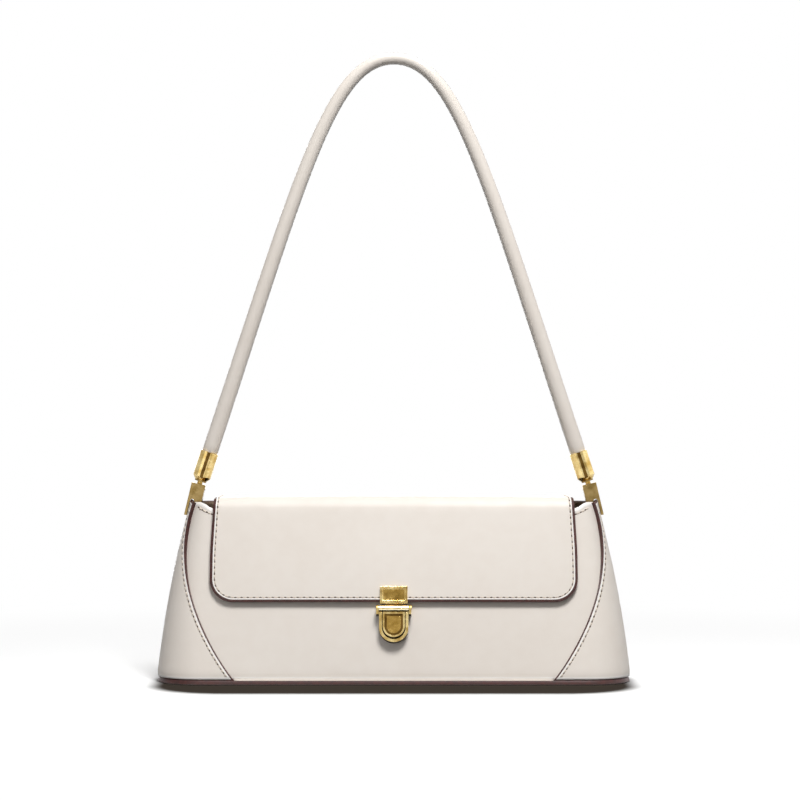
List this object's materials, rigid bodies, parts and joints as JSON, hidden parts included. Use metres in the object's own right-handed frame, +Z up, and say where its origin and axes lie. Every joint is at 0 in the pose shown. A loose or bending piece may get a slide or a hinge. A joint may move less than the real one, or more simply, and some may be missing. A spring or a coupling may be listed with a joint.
{
  "type": "baguette bag",
  "caption": "Long trapezoid shoulder bag with wrap-round end gussets, a front flap with a tuck lock and a rolled strap held in metal ends.",
  "frame": {"origin": "middle of the underside of the base panel", "axes": "+Z up along the strap's height, -Y towards the front with the flap and lock, +X towards the right end seen from the front"},
  "size_m": [0.269, 0.086, 0.358],
  "materials": {
    "cream_leather": "smooth, soft sheen",
    "flap_lining_leather": "fine suede with painted edge",
    "lining_cloth": "fine twill",
    "board": "bare stiffener board",
    "core": "soft extruded core",
    "antique_brass": "antiqued, polished high spots",
    "steel": "plain"
  },
  "bodies": {
    "shell": {"base_panel": "cream_leather", "base_board": "board", "front_panel": "cream_leather", "back_panel": "cream_leather", "left_gusset": "cream_leather", "right_gusset": "cream_leather", "lining": "lining_cloth", "inner_pocket": "lining_cloth", "flap_tail": "cream_leather", "left_clip": "antique_brass", "right_clip": "antique_brass", "left_pin": "antique_brass", "right_pin": "antique_brass", "clip_screws": "antique_brass", "lock_case": "antique_brass", "lock_washer": "steel", "catch_pin": "antique_brass", "catch_spring": "steel"},
    "flap": {"flap": "cream_leather", "flap_lining": "flap_lining_leather", "lock_plate": "antique_brass", "lock_tongue": "antique_brass", "plate_rivets": "antique_brass"},
    "thumb": {"thumb_plate": "antique_brass"},
    "strap": {"strap": "cream_leather", "strap_core": "core", "left_cap": "antique_brass", "right_cap": "antique_brass", "left_lug": "antique_brass", "right_lug": "antique_brass"}
  },
  "joints": [
    {"name": "flap_open", "type": "hinge", "parent": "shell", "child": "flap", "pos_m": [0, 0.0141, 0.10262], "axis": [-1, 0, 0], "range_deg": [0, 50]},
    {"name": "thumb_press", "type": "hinge", "parent": "shell", "child": "thumb", "pos_m": [0, -0.03443, 0.0421], "axis": [1, 0, 0], "range_deg": [0, 5], "stiffness_Nm_per_rad": 0.05, "springref_deg": -5.73},
    {"name": "strap_fold", "type": "hinge", "parent": "shell", "child": "strap", "pos_m": [0, 0, 0.10822], "axis": [-1, 0, 0], "range_deg": [0, 88]}
  ]
}
